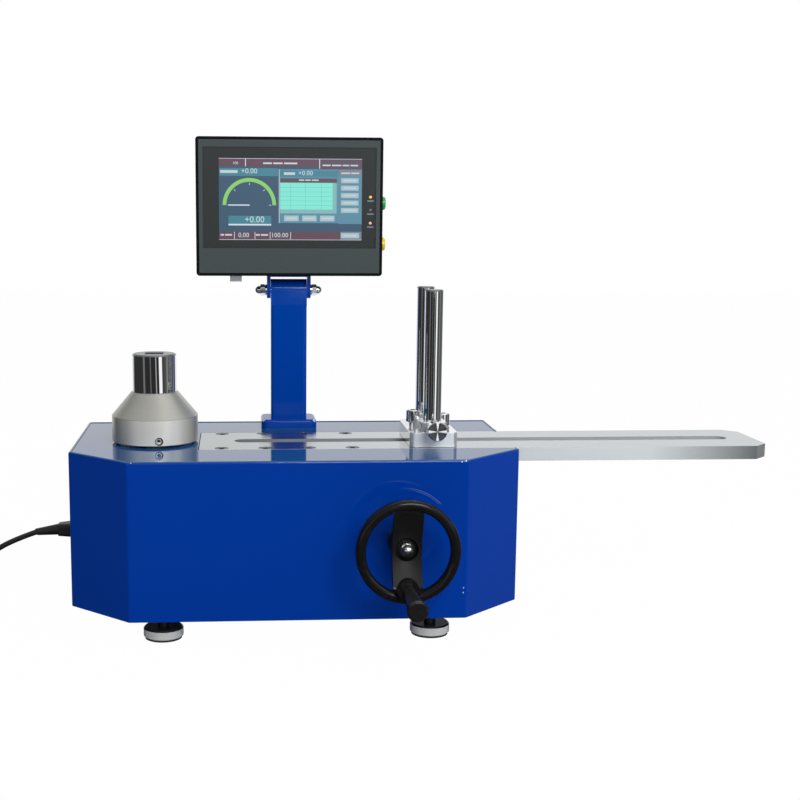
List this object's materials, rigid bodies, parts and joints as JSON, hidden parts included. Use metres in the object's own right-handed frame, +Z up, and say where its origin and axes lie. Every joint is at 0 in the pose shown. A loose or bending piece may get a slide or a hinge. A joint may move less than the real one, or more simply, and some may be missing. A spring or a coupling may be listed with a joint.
{
  "type": "torque wrench calibrator",
  "caption": "Bench calibrator for torque wrenches: blue casing with handwheel, square drive on a transducer, slotted arm with sliding reaction posts and a tilting display.",
  "frame": {"origin": "on the table under the middle of the instrument, measured without its power lead", "axes": "+X along the slotted arm to its free end, +Y to the back, +Z up"},
  "size_m": [0.9629, 0.368, 0.504],
  "materials": {
    "arm_steel": "satin",
    "black_oxide": "satin",
    "black_plastic": "matte",
    "board_green": "matte",
    "bright_steel": "ground",
    "bronze": "machined",
    "button_green": "gloss",
    "button_yellow": "gloss",
    "casing_blue": "gloss",
    "cast_iron": "as cast",
    "chrome": "mirror",
    "connector_grey": "matte",
    "cord_black": "matte",
    "foot_metal": "plated",
    "frame_grey": "matte",
    "grip_plastic": "gloss",
    "lamp_plastic": "gloss",
    "screen_black": "matte",
    "screen_glass": "gloss",
    "sleeve_metal": "satin",
    "turned_aluminium": "satin",
    "wheel_black": "gloss enamel"
  },
  "bodies": {
    "casing": {"chassis_shell": "casing_blue", "bottom_cover": "casing_blue", "top_plate": "casing_blue", "slotted_arm": "arm_steel", "arm_screws": "black_oxide", "foot_jam_nuts": "foot_metal", "gear_frame": "cast_iron", "worm_bushes": "bronze", "lower_bearing": "bright_steel", "upper_bearing": "bright_steel", "wheel_bearing": "black_oxide", "display_post": "casing_blue", "post_screws": "bright_steel", "power_inlet": "black_plastic", "power_supply": "sleeve_metal", "signal_board": "board_green", "lead_connector": "black_plastic", "power_lead": "cord_black", "lead_coil": "cord_black", "mains_plug": "black_plastic"},
    "handwheel": {"handwheel": "wheel_black", "handwheel_shaft": "bright_steel", "wheel_nut": "chrome", "handle_spindle": "chrome", "mitre_drive": "bright_steel"},
    "grip": {"handle_grip": "grip_plastic"},
    "worm": {"worm_shaft": "bright_steel", "worm_collars": "bright_steel", "mitre_driven": "bright_steel"},
    "output": {"output_shaft": "bright_steel", "worm_wheel": "bronze", "wheel_key": "bright_steel", "transducer_body": "bright_steel", "coupling_screws": "black_oxide", "transducer_housing": "turned_aluminium", "housing_screw": "black_oxide", "drive_adapter": "chrome", "adapter_screw": "black_oxide"},
    "carriage": {"carriage": "chrome", "reaction_posts": "chrome", "slot_nut": "bright_steel"},
    "clamp_left": {"clamp_screw_left": "chrome"},
    "clamp_right": {"clamp_screw_right": "chrome"},
    "knob": {"clamp_knob": "chrome"},
    "display": {"tilt_bracket": "casing_blue", "tilt_bolt": "chrome", "display_bezel": "frame_grey", "display_case": "frame_grey", "data_connector": "connector_grey", "display_glass": "screen_glass", "display_panel": "screen_black", "display_board": "board_green", "indicator_lights": "lamp_plastic", "button_sleeves": "sleeve_metal"},
    "green": {"green_button": "button_green"},
    "yellow": {"yellow_button": "button_yellow"},
    "foot_fl": {"foot_front_left": "foot_metal"},
    "foot_bl": {"foot_back_left": "foot_metal"},
    "foot_fr": {"foot_front_right": "foot_metal"},
    "foot_br": {"foot_back_right": "foot_metal"}
  },
  "joints": [
    {"name": "handwheel_turn", "type": "hinge", "parent": "casing", "child": "handwheel", "pos_m": [-0.0315, -0.091, 0.1045], "axis": [0, 1, 0], "range_deg": [-1800, 1800]},
    {"name": "handle_spin", "type": "hinge", "parent": "handwheel", "child": "grip", "pos_m": [-0.0315, -0.151, 0.0675], "axis": [0, 1, 0], "continuous": true},
    {"name": "worm_turn", "type": "hinge", "parent": "casing", "child": "worm", "pos_m": [-0.1335, -0.011, 0.1045], "axis": [1, 0, 0], "range_deg": [-1800, 1800]},
    {"name": "output_turn", "type": "hinge", "parent": "casing", "child": "output", "pos_m": [-0.2795, 0.055, 0.15], "axis": [0, 0, 1], "range_deg": [-45, 45]},
    {"name": "carriage_slide", "type": "slide", "parent": "casing", "child": "carriage", "axis": [1, 0, 0], "range_m": [-0.17, 0.29]},
    {"name": "clamp_left_turn", "type": "hinge", "parent": "carriage", "child": "clamp_left", "pos_m": [-0.006, 0.055, 0.205], "axis": [0, 0, 1], "range_deg": [-360, 360]},
    {"name": "clamp_right_turn", "type": "hinge", "parent": "carriage", "child": "clamp_right", "pos_m": [0.026, 0.055, 0.205], "axis": [0, 0, 1], "range_deg": [-360, 360]},
    {"name": "clamp_knob_turn", "type": "hinge", "parent": "carriage", "child": "knob", "pos_m": [0.01, -0.006, 0.2039], "axis": [0, 1, 0], "range_deg": [-360, 360]},
    {"name": "display_tilt", "type": "hinge", "parent": "casing", "child": "display", "pos_m": [-0.135, 0.154, 0.338], "axis": [-1, 0, 0], "range_deg": [-10, 20]},
    {"name": "green_press", "type": "slide", "parent": "display", "child": "green", "axis": [-1, 0, 0], "range_m": [0, 0.002], "stiffness_N_per_m": 400, "springref_m": -0.002},
    {"name": "yellow_press", "type": "slide", "parent": "display", "child": "yellow", "axis": [-1, 0, 0], "range_m": [0, 0.002], "stiffness_N_per_m": 400, "springref_m": -0.002},
    {"name": "foot_fl_turn", "type": "hinge", "parent": "casing", "child": "foot_fl", "pos_m": [-0.2685, -0.038, 0.012], "axis": [0, 0, 1], "range_deg": [-720, 720]},
    {"name": "foot_bl_turn", "type": "hinge", "parent": "casing", "child": "foot_bl", "pos_m": [-0.2685, 0.156, 0.012], "axis": [0, 0, 1], "range_deg": [-720, 720]},
    {"name": "foot_fr_turn", "type": "hinge", "parent": "casing", "child": "foot_fr", "pos_m": [0.0015, -0.038, 0.012], "axis": [0, 0, 1], "range_deg": [-720, 720]},
    {"name": "foot_br_turn", "type": "hinge", "parent": "casing", "child": "foot_br", "pos_m": [0.0015, 0.156, 0.012], "axis": [0, 0, 1], "range_deg": [-720, 720]}
  ],
  "couplings": [
    {"joint": "worm_turn", "follows": "handwheel_turn", "ratio": -1},
    {"joint": "output_turn", "follows": "handwheel_turn", "ratio": 0.025}
  ]
}
